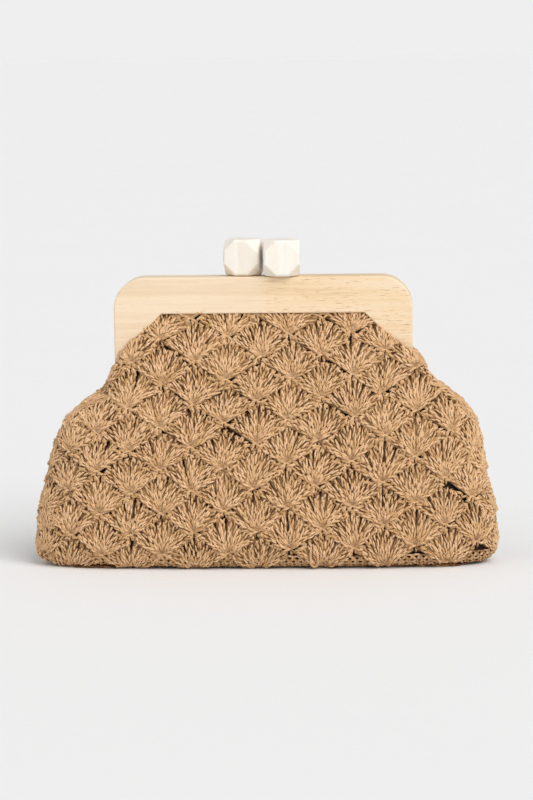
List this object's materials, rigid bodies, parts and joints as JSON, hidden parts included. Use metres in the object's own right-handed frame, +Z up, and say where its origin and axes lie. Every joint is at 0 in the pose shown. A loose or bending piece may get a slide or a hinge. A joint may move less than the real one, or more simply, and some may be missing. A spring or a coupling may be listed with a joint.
{
  "type": "clutch purse",
  "caption": "Crocheted straw clutch purse with a two-part hinged wooden frame, faceted bead kiss clasp and fabric lining.",
  "frame": {"origin": "middle of the flat crocheted base, on the surface that the purse stands on", "axes": "+X along the purse's width, +Y from its front to its back, +Z up to the bead clasp"},
  "size_m": [0.3095, 0.0672, 0.2202],
  "materials": {
    "crochet": "twisted paper straw in natural tan, crocheted in shell stitch, matt",
    "lining": "dark brown plain-weave cotton",
    "board": "grey-brown bag board",
    "frame_wood": "pale rubberwood, sanded, satin clear lacquer",
    "bead_wood": "bleached hemu beech, sanded, satin",
    "paper_cord": "twisted kraft paper cord",
    "steel": "nickel-plated steel"
  },
  "bodies": {
    "pouch": {"crochet_pouch": "crochet", "crochet_base": "crochet", "base_board": "board", "lining_pouch": "lining", "hinge_pin_left": "steel", "hinge_pin_right": "steel"},
    "front_half": {"front_frame": "frame_wood", "front_bead": "bead_wood", "front_bead_stud": "steel", "front_mouth_cord": "paper_cord", "front_hinge_screws": "steel", "front_hinge_leaf_left": "steel", "front_hinge_leaf_right": "steel", "crochet_front_panel": "crochet", "lining_front_panel": "lining"},
    "back_half": {"back_frame": "frame_wood", "back_bead": "bead_wood", "back_bead_stud": "steel", "back_mouth_cord": "paper_cord", "back_hinge_screws": "steel", "back_hinge_leaf_left": "steel", "back_hinge_leaf_right": "steel", "crochet_back_panel": "crochet", "lining_back_panel": "lining"}
  },
  "joints": [
    {"name": "front_half_open", "type": "hinge", "parent": "pouch", "child": "front_half", "pos_m": [0, 0, 0.1146], "axis": [1, 0, 0], "range_deg": [0, 40], "deforming": ["crochet_front_panel", "lining_front_panel"]},
    {"name": "back_half_open", "type": "hinge", "parent": "pouch", "child": "back_half", "pos_m": [0, 0, 0.1146], "axis": [-1, 0, 0], "range_deg": [0, 40], "deforming": ["crochet_back_panel", "lining_back_panel"]}
  ]
}
